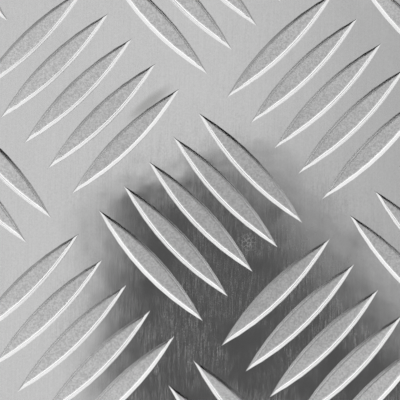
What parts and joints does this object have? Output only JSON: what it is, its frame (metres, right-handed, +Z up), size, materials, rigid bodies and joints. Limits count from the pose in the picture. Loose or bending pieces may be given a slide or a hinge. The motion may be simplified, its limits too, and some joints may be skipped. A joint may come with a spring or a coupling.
{
  "type": "aluminium checker plate",
  "caption": "Flat rolled aluminium sheet with a raised anti-slip tread of pointed bars in groups, each group set across the next.",
  "frame": {"origin": "middle of the plain underside, which is the face the sheet lies on", "axes": "+Z up out of the tread, +Y along the sheet's longer side, which is its rolling direction, +X across the sheet"},
  "size_m": [0.2, 0.25, 0.004],
  "materials": {
    "rolled_aluminium": "bright mill finish as rolled, with fine streaks along the rolling direction"
  },
  "bodies": {
    "root": {"checker_plate": "rolled_aluminium"}
  },
  "joints": []
}
